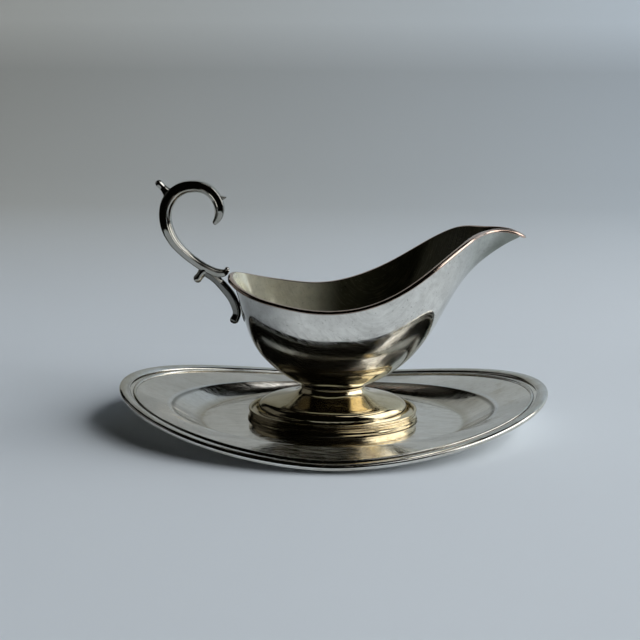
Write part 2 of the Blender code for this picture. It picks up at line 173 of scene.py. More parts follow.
def bowl_point(along, turn):
    """A point of the bowl's outer face: along from spout to back, turn from rim to rim."""
    bottom = line_at(KEEL_LINE, along)
    edge = line_at(RIM_LINE, along)
    angle = abs(turn) * math.pi / 2.0
    up = 1.0 - math.cos(angle)
    out = (1.0 - BOWL_FLARE) * math.sin(angle) + BOWL_FLARE * up ** 3
    side = math.copysign(edge[1] * out, turn)
    return np.array([bottom[0] + (edge[0] - bottom[0]) * up, side,
                     bottom[2] + (edge[2] - bottom[2]) * up])


# ---------------------------------------------------------------- mesh helpers
CAST_SHARPNESS = 42.0       # edges steeper than this many degrees stay sharp
MOULDING_SHARPNESS = 50.0
SHEET_SHARPNESS = 60.0
WAVES = 6


def finish_mesh(mesh, name, smooth=38.0):
    """Turn a bmesh into a shaded object."""
    bmesh.ops.recalc_face_normals(mesh, faces=mesh.faces)
    data = bpy.data.meshes.new(name)
    mesh.to_mesh(data)
    mesh.free()
    for polygon in data.polygons:
        polygon.use_smooth = True
    data.set_sharp_from_angle(angle=math.radians(smooth))
    piece = bpy.data.objects.new(name, data)
    bpy.context.scene.collection.objects.link(piece)
    return piece


def skin(mesh, rings, closed_rings=True, capped=False, closed_rows=False):
    """Skin a row of rings; a ring of one point closes that end."""
    rows = [[mesh.verts.new(tuple(point)) for point in ring] for ring in rings]
    pairs = list(zip(rows[:-1], rows[1:]))
    if closed_rows:
        pairs.append((rows[-1], rows[0]))
    for first, second in pairs:
        count = max(len(first), len(second))
        spans = count if closed_rings else count - 1
        for j in range(spans):
            k = (j + 1) % count
            a = [first[j], first[k]] if len(first) > 1 else [first[0]]
            b = [second[k], second[j]] if len(second) > 1 else [second[0]]
            mesh.faces.new(a + b)
    if capped:
        for row in (rows[0], rows[-1]):
            if len(row) > 1:
                mesh.faces.new(row)
    return rows


def angles(count):
    """Evenly spaced angles round a turn."""
    return [2.0 * math.pi * i / count for i in range(count)]


def rounded_outline(corners, radius, steps):
    """A closed outline with its corners rounded by a fixed share of their sides."""
    corners = [np.array(c, float) for c in corners]
    points = []
    for i, corner in enumerate(corners):
        before = corners[i - 1]
        after = corners[(i + 1) % len(corners)]
        reach_a = min(radius, 0.48 * np.linalg.norm(before - corner))
        reach_b = min(radius, 0.48 * np.linalg.norm(after - corner))
        a = corner + (before - corner) / np.linalg.norm(before - corner) * reach_a
        b = corner + (after - corner) / np.linalg.norm(after - corner) * reach_b
        for t in np.linspace(0.0, 1.0, steps):
            points.append((1 - t) ** 2 * a + 2 * t * (1 - t) * corner + t ** 2 * b)
    return points


def loop_sweep(name, centres, section):
    """A moulding run round a closed loop; the section is (outwards, upwards) in millimetres."""
    centres = np.array(centres)
    ahead = np.roll(centres, -1, axis=0) - np.roll(centres, 1, axis=0)
    ahead /= np.linalg.norm(ahead, axis=1)[:, None]
    out = np.stack([ahead[:, 1], -ahead[:, 0], np.zeros(len(centres))], axis=1)
    out /= np.linalg.norm(out, axis=1)[:, None]
    middle = centres.mean(axis=0)
    if np.dot(out[0], centres[0] - middle) < 0:
        out = -out
    up = np.cross(out, ahead)
    up[up[:, 2] < 0] *= -1.0
    mesh = bmesh.new()
    rings = []
    for centre, outwards, upwards in zip(centres, out, up):
        rings.append([centre + outwards * x * MM + upwards * z * MM for x, z in section])
    skin(mesh, rings, closed_rows=True)
    return finish_mesh(mesh, name, MOULDING_SHARPNESS)


def sheet_from_surface(name, rings, thickness, inwards, closed_rings):
    """A closed sheet of metal, with one material slot for each of its two faces."""
    mesh = bmesh.new()
    skin(mesh, rings, closed_rings=closed_rings)
    piece = finish_mesh(mesh, name, SHEET_SHARPNESS)
    piece.data.materials.append(bowl_metal)
    piece.data.materials.append(bowl_metal)
    if inwards(piece.data):
        piece.data.flip_normals()
    solid = piece.modifiers.new("sheet", "SOLIDIFY")
    solid.thickness = thickness
    solid.offset = -1.0
    solid.use_even_offset = True
    solid.material_offset = 1
    graph = bpy.context.evaluated_depsgraph_get()
    baked = bpy.data.meshes.new_from_object(piece.evaluated_get(graph))
    piece.modifiers.clear()
    piece.data = baked
    for polygon in piece.data.polygons:
        polygon.use_smooth = True
    piece.data.set_sharp_from_angle(angle=math.radians(SHEET_SHARPNESS))
    return piece


def wander(points, size, depth, seed):
    """Height of a sum of slow waves, so a hand-worked sheet isn't perfectly even."""
    phase = np.random.default_rng(seed).uniform(0.0, 6.28, (WAVES, 3))[:, 0]
    heading = np.random.default_rng(seed + 1).normal(size=(WAVES, 3))
    heading /= np.linalg.norm(heading, axis=1)[:, None]
    value = np.zeros(len(points))
    for k in range(WAVES):
        length = size * (0.7 + 0.2 * k)
        value += np.sin(points @ heading[k] * (2 * math.pi / length) + phase[k])
    return value * depth / WAVES


def beat_surface(piece, size, depth, seed):
    """Slight unevenness of hammered and worn sheet, on both faces alike."""
    data = piece.data
    count = len(data.vertices)
    places = np.empty(count * 3)
    data.vertices.foreach_get("co", places)
    places = places.reshape(-1, 3)
    centre = places.mean(axis=0)
    away = places - centre
    away /= np.linalg.norm(away, axis=1)[:, None]
    places += away * wander(places, size, depth, seed)[:, None]
    data.vertices.foreach_set("co", places.ravel())
    data.update()


# ---------------------------------------------------------------- materials
def new_material(name):
    """A material with nothing but a Principled shader."""
    material = bpy.data.materials.new(name)
    material.use_nodes = True
    tree = material.node_tree
    tree.nodes.clear()
    out = tree.nodes.new("ShaderNodeOutputMaterial")
    shader = tree.nodes.new("ShaderNodeBsdfPrincipled")
    tree.links.new(shader.outputs["BSDF"], out.inputs["Surface"])
    return material, tree, shader


def node(tree, kind, values=None, **settings):
    """A node with its inputs and settings filled in."""
    made = tree.nodes.new(kind)
    for key, value in settings.items():
        setattr(made, key, value)
    for key, value in (values or {}).items():
        made.inputs[key].default_value = value
    return made


def noise(tree, coords, scale, detail, roughness=0.55, stretch=None, turn=(0.0, 0.0, 0.0)):
    """Noise in object space, optionally stretched along one direction."""
    source = coords
    if stretch is not None:
        mapping = node(tree, "ShaderNodeMapping")
        mapping.inputs["Rotation"].default_value = turn
        mapping.inputs["Scale"].default_value = stretch
        tree.links.new(coords, mapping.inputs["Vector"])
        source = mapping.outputs["Vector"]
    tex = node(tree, "ShaderNodeTexNoise", {"Scale": scale, "Detail": detail, "Roughness": roughness})
    tree.links.new(source, tex.inputs["Vector"])
    return tex.outputs["Fac"]


def ramp(tree, source, stops):
    """Map a value through (position, grey or colour) stops."""
    made = tree.nodes.new("ShaderNodeValToRGB")
    elements = made.color_ramp.elements
    while len(elements) < len(stops):
        elements.new(0.5)
    for element, (position, colour) in zip(elements, stops):
        element.position = position
        if isinstance(colour, (int, float)):
            colour = (colour, colour, colour)
        element.color = (*colour, 1.0)
    tree.links.new(source, made.inputs["Fac"])
    return made.outputs["Color"]


def mix_colour(tree, factor, a, b, mode="MIX"):
    """Mix two colours; each may be a value or another node's output."""
    made = node(tree, "ShaderNodeMix", data_type="RGBA", blend_type=mode)
    for value, socket in ((factor, 0), (a, 6), (b, 7)):
        if hasattr(value, "is_linked"):
            tree.links.new(value, made.inputs[socket])
        elif socket == 0:
            made.inputs[0].default_value = value
        else:
            made.inputs[socket].default_value = (*value, 1.0)
    return made.outputs[2]


def maths(tree, operation, a, b, clamp=False):
    """One sum on values or other nodes' outputs."""
    made = node(tree, "ShaderNodeMath", operation=operation, use_clamp=clamp)
    for i, value in enumerate((a, b)):
        if hasattr(value, "is_linked"):
            tree.links.new(value, made.inputs[i])
        else:
            made.inputs[i].default_value = value
    return made.outputs[0]


def blend(tree, source, low, high):
    """0 below low, 1 above high, smooth between."""
    made = node(tree, "ShaderNodeMapRange", {"From Min": low, "From Max": high},
                interpolation_type="SMOOTHSTEP")
    tree.links.new(source, made.inputs["Value"])
    return made.outputs["Result"]


def add_scratches(tree, coords, count, level):
    """Fine straight scratches in several directions, as a 0 to 1 mask."""
    found = None
    for k in range(count):
        turn = (0.9 * k + 0.4, 0.7 * k + 0.2, 1.3 * k + 0.3)
        stretch = (1.0, 24.0 + 7.0 * k, 1.0)
        line = noise(tree, coords, 60.0 + 22.0 * k, 3.0, 0.5, stretch=stretch, turn=turn)
        line = ramp(tree, line, [(level, 0.0), (level + 0.05, 1.0)])
        found = line if found is None else maths(tree, "MAXIMUM", found, line)
    return found


def plane(tree, coords, heading, start, stop):
    """0 to 1 along a heading in object space."""
    made = node(tree, "ShaderNodeVectorMath", operation="DOT_PRODUCT")
    tree.links.new(coords, made.inputs[0])
    made.inputs[1].default_value = heading
    return blend(tree, made.outputs["Value"], start, stop)


def oval_band(tree, coords, half_length, half_width, stops):
    """A band that follows an oval; stops are shares of the oval's size."""
    squeeze = node(tree, "ShaderNodeVectorMath", operation="MULTIPLY")
    tree.links.new(coords, squeeze.inputs[0])
    squeeze.inputs[1].default_value = (1.0 / half_length, 1.0 / half_width, 0.0)
    size = node(tree, "ShaderNodeVectorMath", operation="LENGTH")
    tree.links.new(squeeze.outputs["Vector"], size.inputs[0])
    half = maths(tree, "MULTIPLY", size.outputs["Value"], 0.5)
    return ramp(tree, half, [(place / 2.0, value) for place, value in stops])


def tarnish_stain(tree, coords, cloud, fine, amount):
    """Where the silver has tarnished: patches, mottling and fine brush strokes."""
    brush = noise(tree, coords, 330.0, 4.0, 0.65, stretch=(0.10, 1.0, 1.0), turn=BRUSH_TURN)
    patch = ramp(tree, cloud, [(0.40, 0.0), (0.62, 1.0)])
    mottle = ramp(tree, fine, [(0.38, 0.0), (0.64, 1.0)])
    strokes = ramp(tree, brush, [(0.44, 0.0), (0.62, 1.0)])
    stain = maths(tree, "MULTIPLY", patch, PATCH_SHARE)
    stain = maths(tree, "ADD", stain, maths(tree, "MULTIPLY", mottle, MOTTLE_SHARE))
    stain = maths(tree, "ADD", stain, maths(tree, "MULTIPLY", strokes, STROKE_SHARE), clamp=True)
    return maths(tree, "MULTIPLY", stain, amount)


def add_blotches(tree, coords, colour, amount):
    """Brown stains and paler pink bloom."""
    rust = ramp(tree, noise(tree, coords, 34.0, 8.0, 0.74), [(0.60, 0.0), (0.70, 1.0)])
    colour = mix_colour(tree, maths(tree, "MULTIPLY", rust, amount), colour, BROWN_STAIN)
    bloom = noise(tree, coords, 41.0, 7.0, 0.7, turn=(0.3, 0.2, 0.9), stretch=(1.0, 1.0, 1.0))
    bloom = ramp(tree, bloom, [(0.60, 0.0), (0.72, 1.0)])
    return mix_colour(tree, maths(tree, "MULTIPLY", bloom, amount * 0.7), colour, PINK_BLOOM)


def add_folds(tree, coords, colour, folds):
    """Lines that follow the folds of the sheet: a brown line round the well, and along the crease a
    painted shade line beside a painted highlight line.
    """
    for half_length, half_width, stops, value in folds:
        ring = oval_band(tree, coords, half_length, half_width, stops)
        colour = mix_colour(tree, ring, colour, value)
    return colour


def add_shades(tree, coords, colour, shades):
    """Painted shade: darker areas standing in for dark reflections, each bounded by one or more soft
    planes.
    """
    for planes, value in shades:
        dim = None
        for heading, start, stop in planes:
            part = plane(tree, coords, heading, start, stop)
            dim = part if dim is None else maths(tree, "MULTIPLY", dim, part)
        colour = mix_colour(tree, dim, colour, mix_colour(tree, 1.0, colour, value, "MULTIPLY"))
    return colour


def add_specks(tree, coords, colour, tarnish, amount):
    """Small black pits in the plating."""
    speck = noise(tree, coords, 850.0, 2.0, 0.5)
    dots = ramp(tree, speck, [(0.665, 0.0), (0.70, 1.0)])
    return mix_colour(tree, maths(tree, "MULTIPLY", dots, 0.6 * amount), colour,
                      tuple(c * 0.35 for c in tarnish))


def add_grime_and_shade(tree, colour, amount):
    """Black tarnish and dirt in the corners, which also paints in the shade that falls there."""
    pocket = node(tree, "ShaderNodeAmbientOcclusion", {"Distance": 0.003}, samples=6)
    dark = ramp(tree, pocket.outputs["AO"], [(0.25, 1.0), (0.75, 0.0)])
    return mix_colour(tree, maths(tree, "MULTIPLY", dark, amount), colour, GRIME_AND_SHADE)


def set_roughness(tree, shader, cloud, stain, scratches, polish, wear, scratch, haze):
    """Patchy polish, duller where the metal is scratched or stained."""
    rough = maths(tree, "MULTIPLY", cloud, wear)
    rough = maths(tree, "ADD", rough, polish)
    rough = maths(tree, "ADD", rough, maths(tree, "MULTIPLY", scratches, 0.08 * scratch))
    rough = maths(tree, "ADD", rough, maths(tree, "MULTIPLY", stain, haze), clamp=True)
    tree.links.new(rough, shader.inputs["Roughness"])


def set_bump(tree, shader, cloud, scratches, scratch):
    """Shallow dents, with the scratches cut in."""
    height = maths(tree, "MULTIPLY", scratches, SCRATCH_DEPTH * scratch)
    height = maths(tree, "ADD", height, maths(tree, "MULTIPLY", cloud, DENTS))
    bump = node(tree, "ShaderNodeBump", {"Strength": 0.3, "Distance": 0.00025})
    tree.links.new(height, bump.inputs["Height"])
    tree.links.new(bump.outputs["Normal"], shader.inputs["Normal"])


BRUSH_TURN = (0.0, 0.65, 0.0)
PATCH_SHARE = 0.50
MOTTLE_SHARE = 0.42
STROKE_SHARE = 0.16
SCRATCH_DEPTH = -0.12
DENTS = 0.3
BROWN_STAIN = (0.50, 0.42, 0.28)
PINK_BLOOM = (0.58, 0.47, 0.43)
GRIME_AND_SHADE = (0.05, 0.04, 0.03)


def silver(name, tint, tarnish, low_tint=None, low=(0.02, 0.05), polish=0.03, wear=0.04,
           amount=0.5, scratch=0.5, grime_and_shade=0.0, haze=0.0, shades=(), film=0.0, blotch=0.0, folds=()):
    """Worn silver plate: uneven tarnish, fine scratches, patchy polish, a thin dull film, plus any
    painted shades and fold lines it is given.
    """
    material, tree, shader = new_material(name)
    coords = node(tree, "ShaderNodeTexCoord").outputs["Object"]
    cloud = noise(tree, coords, 24.0, 7.0, 0.62)
    fine = noise(tree, coords, 130.0, 6.0, 0.72)
    stain = tarnish_stain(tree, coords, cloud, fine, amount)
    base = tint
    if low_tint is not None:
        split = node(tree, "ShaderNodeSeparateXYZ")
        tree.links.new(coords, split.inputs["Vector"])
        base = mix_colour(tree, blend(tree, split.outputs["Z"], *low), low_tint, tint)
    colour = mix_colour(tree, stain, base, tarnish)
    if blotch > 0.0:
        colour = add_blotches(tree, coords, colour, blotch)
    colour = add_folds(tree, coords, colour, folds)
    colour = add_shades(tree, coords, colour, shades)
    colour = add_specks(tree, coords, colour, tarnish, amount)
    scratches = add_scratches(tree, coords, 4, 0.60)
    colour = mix_colour(tree, maths(tree, "MULTIPLY", scratches, 0.25 * scratch), colour,
                        tuple(c * 0.55 for c in tarnish))
    # The corners darkened: tarnish and dirt, with painted shade.
    if grime_and_shade > 0.0:
        colour = add_grime_and_shade(tree, colour, grime_and_shade)
    tree.links.new(colour, shader.inputs["Base Color"])
    set_roughness(tree, shader, cloud, stain, scratches, polish, wear, scratch, haze)
    set_bump(tree, shader, cloud, scratches, scratch)
    if film > 0.0:
        dull = maths(tree, "MULTIPLY", ramp(tree, fine, [(0.30, 0.6), (0.70, 1.0)]), film)
        tree.links.new(maths(tree, "SUBTRACT", 1.0, dull), shader.inputs["Metallic"])
    else:
        shader.inputs["Metallic"].default_value = 1.0
    return material


# A painted shade is its soft planes (heading, start, stop in metres) and the colour it multiplies by.
ALONG_X = (1.0, 0.0, 0.0)
# Painted shade on the bowl: its back end, its spout and a band under the spout are darkened in the
# colour, standing in for the dark surroundings they reflect.
BACK_SHADE = ([(ALONG_X, -0.014, -0.036)], (0.50, 0.51, 0.52))
SPOUT_SHADE = ([(ALONG_X, 0.050, 0.080)], (0.58, 0.61, 0.60))
UNDER_SPOUT_SHADE = ([(ALONG_X, 0.046, 0.060), ((-1.109, 0.0, 1.0), 0.013, 0.003)], (0.62, 0.64, 0.62))
bowl_metal = silver("worn_shaded_bowl", (1.0, 0.97, 0.90), (0.56, 0.54, 0.50), (0.86, 0.80, 0.64),
                    (0.030, 0.058), polish=0.025, wear=0.03, amount=0.85, haze=0.05,
                    shades=(BACK_SHADE, SPOUT_SHADE, UNDER_SPOUT_SHADE))
# Painted shade: the inside of the bowl from the middle to the spout is painted nearly black, standing
# in for the dark room it reflects.
DEEP_INSIDE_SHADE = ([(ALONG_X, -0.024, 0.006)], (0.07, 0.07, 0.05))
inside_metal = silver("bowl_inside", (0.88, 0.85, 0.68), (0.56, 0.51, 0.35), polish=0.09, wear=0.10,
                      amount=0.6, film=0.50, shades=(DEEP_INSIDE_SHADE,))
# Painted shade: the foot's left side is darkened in the colour.
FOOT_SHADE = ([(ALONG_X, 0.004, -0.024)], (0.62, 0.62, 0.60))
foot_metal = silver("worn_shaded_foot", (0.88, 0.77, 0.54), (0.50, 0.39, 0.21), polish=0.02, wear=0.04,
                    amount=0.6, grime_and_shade=0.4, shades=(FOOT_SHADE,))
# A fold is its half length, half width, stops (share of that oval, strength) and colour.
WELL_LINE = (0.0720, 0.0490, [(0.965, 0.0), (0.99, 0.55), (1.02, 0.35), (1.06, 0.0)],
             (0.46, 0.39, 0.25))
# Along the crease: a dark painted shade line and, just outside it, a painted highlight line, standing
# in for the fold's dark reflection and its bright edge.
CREASE_PAINTED_SHADE = (0.0880, 0.0535, [(0.970, 0.0), (0.984, 0.75), (0.992, 0.75), (0.998, 0.0)],
               (0.20, 0.19, 0.16))
CREASE_PAINTED_HIGHLIGHT = (0.0880, 0.0535, [(0.998, 0.0), (1.003, 0.8), (1.012, 0.8), (1.020, 0.0)],
                (0.99, 0.99, 0.97))
# Painted shade: the plate darkens a little towards its left end, as if lit from the right.
PLATE_SHADE = ([(ALONG_X, 0.050, -0.050)], (0.90, 0.89, 0.88))
plate_metal = silver("worn_shaded_plate", (1.0, 0.97, 0.90), (0.72, 0.66, 0.56), polish=0.03, wear=0.05,
                     amount=0.6, scratch=0.8, haze=0.05, blotch=0.6,
                     shades=(PLATE_SHADE,), folds=(WELL_LINE, CREASE_PAINTED_SHADE, CREASE_PAINTED_HIGHLIGHT))
wire_metal = silver("worn_wire", (0.88, 0.87, 0.83), (0.50, 0.45, 0.34), polish=0.035, wear=0.05,
                    amount=0.7, grime_and_shade=0.8)
rim_metal = silver("worn_rim", (0.80, 0.64, 0.54), (0.46, 0.30, 0.22), polish=0.05, wear=0.06,
                   amount=0.7, grime_and_shade=0.6)
# Painted shade: the handle metal is dark, partly as heavy tarnish and partly to stand in for the dark
# room it reflects; the bracket's metal is a still darker copy of it.
handle_metal = silver("tarnished_shaded_handle", (0.50, 0.49, 0.45), (0.30, 0.28, 0.22), polish=0.03,
                      wear=0.05, amount=0.6, grime_and_shade=0.7)
bracket_shaded_metal = silver("shaded_bracket", (0.24, 0.24, 0.22), (0.12, 0.11, 0.09), polish=0.05,
                       wear=0.06, amount=0.6, grime_and_shade=0.8)


def settle(piece, material, body, slot, *nodes):
    """Give a piece its metal and body, and hide the CAD nodes it stands for; the slot argument is not
    used.
    """
    for index in range(len(piece.data.materials)):
        piece.data.materials[index] = material
    if not piece.data.materials:
        piece.data.materials.append(material)
    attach(piece, body)
    if nodes:
        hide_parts(*nodes)
    return piece


# ---------------------------------------------------------------- underplate
PLATE_SHEET = 1.2 * MM
PLATE_A = 112.0 * MM
PLATE_B = 74.5 * MM
WELL_A = 71.5 * MM
WELL_B = 48.5 * MM
CREASE_A = 88.0 * MM
CREASE_B = 53.5 * MM
STEP_SIDE = 3.7 * MM
STEP_END = 8.5 * MM
STEP_CURVE = 1.3
RISE_SIDE = 1.9 * MM
RISE_END = 18.6 * MM
SWEEP = 1.67
REED_INSET = 5.1 * MM
PLATE_TURNS = 420
ROLL_REACH = 1.7 * MM
ROLL_LIFT = 0.2 * MM
FOLD_SOFTENING = 10


def plate_surface(part, angle):
    """Top of the underplate: part runs 0 to 1 up the step and 1 to 2 over the flange."""
    swing = abs(math.cos(angle))
    step = STEP_SIDE + (STEP_END - STEP_SIDE) * swing ** 1.5
    edge = RISE_SIDE + (RISE_END - RISE_SIDE) * swing ** SWEEP
    if part <= 1.0:
        half_length = WELL_A + (CREASE_A - WELL_A) * part
        half_width = WELL_B + (CREASE_B - WELL_B) * part
        height = step * part ** STEP_CURVE
    else:
        out = part - 1.0
        half_length = CREASE_A + (PLATE_A - CREASE_A) * out
        half_width = CREASE_B + (PLATE_B - CREASE_B) * out
        rounded = 1.0 - (1.0 - out) ** 2.2
        height = step + (edge - step) * (rounded * (1.0 - swing) + out ** 1.1 * swing)
    return np.array([half_length * math.cos(angle), half_width * math.sin(angle),
                     PLATE_SHEET + height])


def inside_rim(inset, angle):
    """The point of the flange that lies a given distance inside its rim."""
    width = math.hypot((PLATE_A - CREASE_A) * math.cos(angle), (PLATE_B - CREASE_B) * math.sin(angle))
    return plate_surface(2.0 - inset / width, angle)


def make_plate():
    """The pressed sheet, with the fold round the well softened by a fraction of a millimetre."""
    turn = angles(PLATE_TURNS)
    parts = np.concatenate([np.linspace(0.0, 0.8, 16, endpoint=False),
                            np.linspace(0.8, 1.12, 28, endpoint=False),
                            np.linspace(1.12, 2.0, 30)])
    spokes = [smooth_columns(np.array([plate_surface(part, a) for part in parts]), FOLD_SOFTENING)
              for a in turn]
    rings = [[(0.0, 0.0, PLATE_SHEET)]]
    for part in list(np.linspace(0.06, 0.96, 20)) + [0.985, 0.995]:
        rings.append([(WELL_A * part * math.cos(a), WELL_B * part * math.sin(a), PLATE_SHEET)
                      for a in turn])
    for index in range(len(parts)):
        rings.append([spoke[index] for spoke in spokes])
    return sheet_from_surface("plate", rings, PLATE_SHEET * 0.98,
                              lambda data: data.polygons[0].normal.z < 0, True)


settle(make_plate(), plate_metal, "underplate", "plate", "plate_dish")

roll_centres = []
reed_centres = []
for a in angles(PLATE_TURNS):
    out = np.array([math.cos(a) / PLATE_A, math.sin(a) / PLATE_B, 0.0])
    out /= np.linalg.norm(out)
    roll_centres.append(plate_surface(2.0, a) + out * ROLL_REACH + np.array([0.0, 0.0, ROLL_LIFT]))
    reed_centres.append(inside_rim(REED_INSET, a))
ROLL_SECTION = [(-3.6, -1.15), (-1.2, -1.32), (0.3, -1.38), (0.75, -1.34), (0.98, -1.2),
                (1.02, -1.02), (0.95, -0.9), (0.97, -0.84), (1.2, -0.66), (1.36, -0.3),
                (1.38, 0.1), (1.28, 0.5), (1.02, 0.85), (0.62, 1.12), (0.1, 1.3), (-0.5, 1.38),
                (-1.2, 1.37), (-1.9, 1.26), (-2.6, 1.05), (-3.2, 0.78), (-3.7, 0.46),
                (-4.1, 0.12), (-4.35, -0.2), (-4.5, -0.5)]
settle(loop_sweep("plate_roll", roll_centres, ROLL_SECTION), wire_metal, "underplate",
       "plate_wire", "plate_rim_wire")
REED_SECTION = [(0.95, -0.3), (0.93, 0.05), (0.82, 0.45), (0.58, 0.76), (0.25, 0.93),
                (-0.15, 0.95), (-0.5, 0.82), (-0.78, 0.55), (-0.92, 0.15), (-0.97, -0.3),
                (0.0, -0.4)]
settle(loop_sweep("plate_reed", reed_centres, REED_SECTION), wire_metal, "underplate",
       "plate_wire", "plate_reed_wire")

# ---------------------------------------------------------------- foot
# Outer profiles as (half length, height); every ring has the same ratio of width to length.
FOOT_RATIO = 0.677
FOOT_SHEET = 0.9 * MM
DOME = [(17.0, 19.1), (17.25, 18.7), (17.9, 17.7), (19.2, 16.6), (21.4, 15.55), (25.0, 14.45),
        (29.0, 13.6), (33.0, 12.85), (36.4, 12.0), (38.3, 11.2), (39.5, 10.3), (40.2, 9.2),
        (40.5, 8.2), (40.75, 7.2), (41.2, 6.5), (41.9, 6.15), (43.0, 6.0), (44.2, 5.95)]
SKIRT = [(44.1, 5.95), (44.75, 5.85), (45.15, 5.6), (45.35, 5.1), (45.42, 4.4), (45.55, 3.6),
         (45.8, 2.9), (46.05, 2.3), (46.2, 1.85), (46.28, 1.6), (46.24, 1.52)]
FOOT_TURNS = 256


def oval(half_length, height, count):
    """Points of one of the foot's oval rings."""
    half_width = half_length * FOOT_RATIO
    return [np.array([half_length * math.cos(a), half_width * math.sin(a), height])
            for a in angles(count)]


def turned_oval(name, profile, rows):
    """An oval sheet whose profile is rounded between its knots."""
    line = natural_spline([(a, z) for a, z in profile], rows)
    rings = [oval(a * MM, z * MM, FOOT_TURNS) for a, z in line]

    def faces_in(data):
        low = min(data.polygons, key=lambda face: face.center.z)
        flat = Vector((low.center.x, low.center.y, 0.0))
        return low.normal.dot(flat) < 0 and low.normal.z < 0.5
    return sheet_from_surface(name, rings, FOOT_SHEET, faces_in, True)


settle(turned_oval("foot_cover", DOME, 60), foot_metal, "boat", "foot", "foot_dome")
settle(turned_oval("foot_band", SKIRT, 26), foot_metal, "boat", "foot", "foot_skirt")
BEAD_SECTION = rounded_outline([(0.78, -0.5), (0.8, 0.35), (0.35, 0.72), (-0.5, 0.72),
                                (-0.85, 0.2), (-0.85, -0.75), (0.4, -0.75)], 0.4, 4)
settle(loop_sweep("foot_bead", oval(44.9 * MM, 6.8 * MM, FOOT_TURNS), BEAD_SECTION),
       foot_metal, "boat", "foot", "foot_bead_wire")
COLLAR_SECTION = [(0.62, 0.0), (0.55, 0.3), (0.3, 0.55), (-0.1, 0.64), (-0.6, 0.5), (-0.8, 0.0),
                  (-0.6, -0.6), (0.0, -0.75), (0.36, -0.6), (0.56, -0.3)]
settle(loop_sweep("neck_ring", oval(16.9 * MM, 19.85 * MM, 192), COLLAR_SECTION),
       foot_metal, "boat", "foot", "neck_collar")


# ---------------------------------------------------------------- bowl
DENT_SPACING = 45.0 * MM
DENT_DEPTH = 0.1 * MM
DENT_SEED = 5


def make_bowl():
    """The boat-shaped bowl, lofted from ribs between the keel and the rim."""
    rings = []
    turns = [math.copysign(abs(j / RIB_STEPS) ** RIB_CROWDING, j)
             for j in range(-RIB_STEPS, RIB_STEPS + 1)]
    for i in range(BOWL_RIBS + 1):
        along = (i / BOWL_RIBS) ** TIP_CROWDING
        if i in (0, BOWL_RIBS):
            rings.append([bowl_point(along, 0.0)])
        else:
            rings.append([bowl_point(along, t) for t in turns])

    def faces_in(data):
        low = min(data.polygons, key=lambda face: face.center.z)
        return low.normal.z > 0
    piece = sheet_from_surface("bowl_body", rings, BOWL_SHEET, faces_in, False)
    beat_surface(piece, DENT_SPACING, DENT_DEPTH, DENT_SEED)
    return piece


bowl = settle(make_bowl(), bowl_metal, "boat", "bowl", "bowl")
bowl.data.materials[1] = inside_metal

RIM_POINTS = 260
half_rim = np.array([line_at(RIM_LINE, (i / (RIM_POINTS // 2)) ** TIP_CROWDING)
                     for i in range(RIM_POINTS // 2 + 1)])
other_rim = (half_rim[1:-1] * np.array([1.0, -1.0, 1.0]))[::-1]
rim_loop = np.concatenate([half_rim, other_rim])
RIM_SECTION = [(-0.25, -1.1), (0.9, -1.2), (1.7, -1.14), (1.93, -1.0), (1.97, -0.8),
               (1.92, -0.45), (1.82, -0.1), (1.62, 0.18), (1.3, 0.4), (0.9, 0.54), (0.4, 0.6),
               (-0.1, 0.55), (-0.6, 0.4), (-0.95, 0.15), (-0.95, -0.35), (-0.5, -0.6)]
settle(loop_sweep("bowl_edge", rim_loop, RIM_SECTION), rim_metal, "boat", "rim_wire",
       "bowl_rim_wire")


# ---------------------------------------------------------------- handle
def section_ring(centre, across, half, outline, half_side):
    """One section of a casting as points in space."""
    points = []
    for out, side in outline:
        flat = centre + across * out * half
        points.append((flat[0], side * half_side, flat[1]))
    return points


def scroll_rings(knots, count, section, facing, round_start):
    """Sections of a casting square to its centre line; far end rounded, near end if asked."""
    knots = [knot if len(knot) == 4 else (*knot, knot[2]) for knot in knots]
    line = natural_spline(knots, count) * MM
    ahead = np.gradient(line[:, :2], axis=0)
    ahead /= np.linalg.norm(ahead, axis=1)[:, None]
    across = np.stack([-ahead[:, 1], ahead[:, 0]], axis=1) * facing
    outline = section + [(r, -t) for r, t in section[-2:0:-1]]
    rings = [section_ring(line[i, :2], across[i], line[i, 2] / 2.0, outline, line[i, 3] / 2.0)
             for i in range(count)]
    ends = [(count - 1, 1.0)]
    if round_start:
        ends.insert(0, (0, -1.0))
    for index, way in ends:
        half = line[index, 2] / 2.0
        side = line[index, 3] / 2.0
        extra = []
        for angle in END_ANGLES:
            shift = ahead[index] * way * half * math.sin(math.radians(angle))
            shrink = math.cos(math.radians(angle))
            extra.append(section_ring(line[index, :2] + shift, across[index], half * shrink,
                                      outline, side * shrink))
        rings = rings + extra if index else extra[::-1] + rings
    return rings


def cast_piece(name, rings):
    """A solid casting skinned over its sections."""
    mesh = bmesh.new()
    skin(mesh, rings, capped=True)
    return finish_mesh(mesh, name, CAST_SHARPNESS)


def ball(name, centre, radius, widening):
    """A small cast ball, a little wider than it is deep."""
    mesh = bmesh.new()
    bmesh.ops.create_uvsphere(mesh, u_segments=32, v_segments=20, radius=radius * MM)
    for vertex in mesh.verts:
        vertex.co.y *= widening
        vertex.co += Vector((centre[0] * MM, 0.0, centre[1] * MM))
    return finish_mesh(mesh, name, SHEET_SHARPNESS)


def join_solids(base, others):
    """Cast the added lumps into the base piece."""
    for other in others:
        union = base.modifiers.new("union", "BOOLEAN")
        union.operation = "UNION"
        union.solver = "EXACT"
        union.object = other
        graph = bpy.context.evaluated_depsgraph_get()
        baked = bpy.data.meshes.new_from_object(base.evaluated_get(graph))
        base.modifiers.clear()
        base.data = baked
        bpy.data.objects.remove(other, do_unlink=True)
    for polygon in base.data.polygons:
        polygon.use_smooth = True
    base.data.set_sharp_from_angle(angle=math.radians(CAST_SHARPNESS))
    return base


